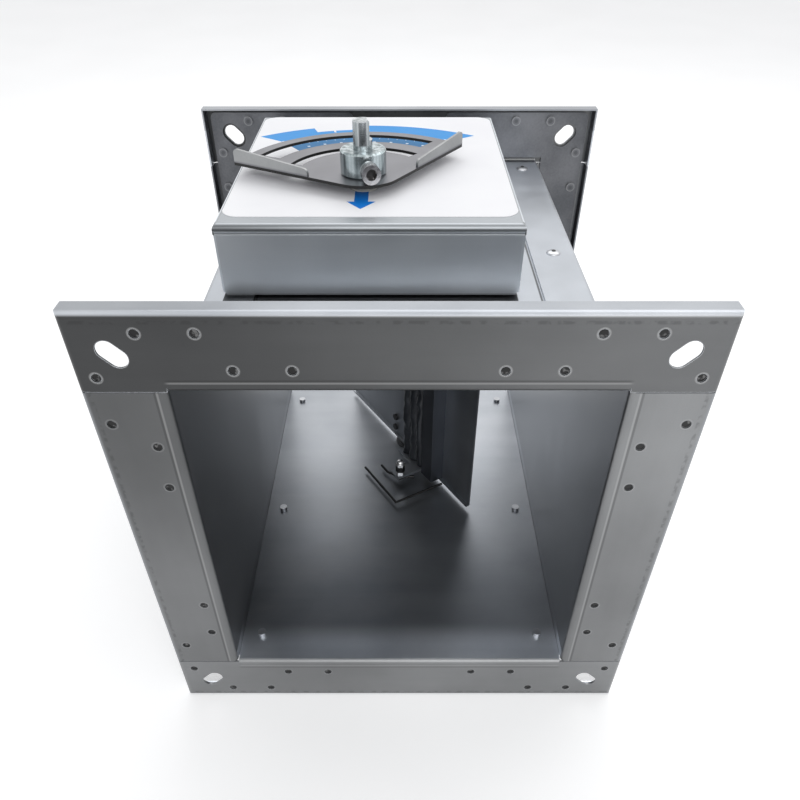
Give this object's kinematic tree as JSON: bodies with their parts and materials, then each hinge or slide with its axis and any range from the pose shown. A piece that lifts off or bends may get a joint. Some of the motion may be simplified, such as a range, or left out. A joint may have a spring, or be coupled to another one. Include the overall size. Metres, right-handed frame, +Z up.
{
  "type": "regulating damper",
  "caption": "Flanged rectangular air duct section with a hinged damper blade on an upright shaft and a top mechanism box with a scale label, pointer and clamped setting spindle.",
  "frame": {"origin": "middle of the footprint, on the plane that the lower flange edges stand on", "axes": "+X to the right seen from the front flange, +Y along the duct against the air flow (the front flange faces -Y and the air leaves there), +Z up through the mechanism box"},
  "size_m": [0.276, 0.3, 0.31],
  "materials": {
    "galvanised_sheet": "satin galvanised sheet",
    "galvanised_bracket": "satin galvanised plate",
    "rivet_steel": "bright zinc",
    "zinc_plated_steel": "bright zinc plating",
    "bright_screw_steel": "polished",
    "dark_steel": "blackened",
    "bellows_film": "matt",
    "bearing_plastic": "matt",
    "cam_plastic": "matt",
    "label_film": "satin"
  },
  "bodies": {
    "casing": {"base_rivets": "rivet_steel", "blade_bearing_lower": "bearing_plastic", "blade_bearing_upper": "bearing_plastic", "bottom_panel": "galvanised_sheet", "cover_screws": "zinc_plated_steel", "front_bracket_lower_left": "galvanised_bracket", "front_bracket_lower_right": "galvanised_bracket", "front_bracket_upper_left": "galvanised_bracket", "front_bracket_upper_right": "galvanised_bracket", "left_panel": "galvanised_sheet", "mechanism_base": "galvanised_sheet", "mechanism_cover": "galvanised_sheet", "rear_bracket_lower_left": "galvanised_bracket", "rear_bracket_lower_right": "galvanised_bracket", "rear_bracket_upper_left": "galvanised_bracket", "rear_bracket_upper_right": "galvanised_bracket", "right_panel": "galvanised_sheet", "scale_label": "label_film", "seam_rivets": "rivet_steel", "setting_bush_lower": "bearing_plastic", "setting_bush_upper": "bearing_plastic", "stop_pegs": "zinc_plated_steel", "top_panel": "galvanised_sheet"},
    "blade": {"damper_blade": "galvanised_sheet", "blade_shaft": "zinc_plated_steel", "shaft_straps": "zinc_plated_steel", "strap_screws": "dark_steel", "bellows": "bellows_film", "bellows_rail": "galvanised_sheet", "bellows_end_plates": "bellows_film", "bellows_stud": "zinc_plated_steel", "dome_nut": "zinc_plated_steel", "bellows_wire": "dark_steel", "hook_wire": "dark_steel", "shaft_collar": "zinc_plated_steel", "cam_disc": "cam_plastic", "cam_hub": "zinc_plated_steel", "cam_set_screw": "dark_steel", "shaft_retaining_ring": "dark_steel"},
    "setting": {"setting_spindle": "zinc_plated_steel", "pointer_plate": "galvanised_sheet", "pointer_hub": "zinc_plated_steel", "spring_lever": "zinc_plated_steel", "leaf_spring": "dark_steel"},
    "clamp": {"clamp_screw": "bright_screw_steel"}
  },
  "joints": [
    {"name": "blade_hinge", "type": "hinge", "parent": "casing", "child": "blade", "pos_m": [0.0084, 0.0711, 0.1], "axis": [0, 0, 1], "range_deg": [-31, 42], "stiffness_Nm_per_rad": 0.03, "deforming": ["leaf_spring"]},
    {"name": "setting_hinge", "type": "hinge", "parent": "casing", "child": "setting", "pos_m": [-0.0188, -0.0135, 0.26], "axis": [0, 0, 1], "range_deg": [-45, 25]},
    {"name": "clamp_screw_turn", "type": "hinge", "parent": "setting", "child": "clamp", "pos_m": [-0.01457, -0.03048, 0.2896], "axis": [0.2419, -0.9703, 0], "range_deg": [0, 180]}
  ]
}
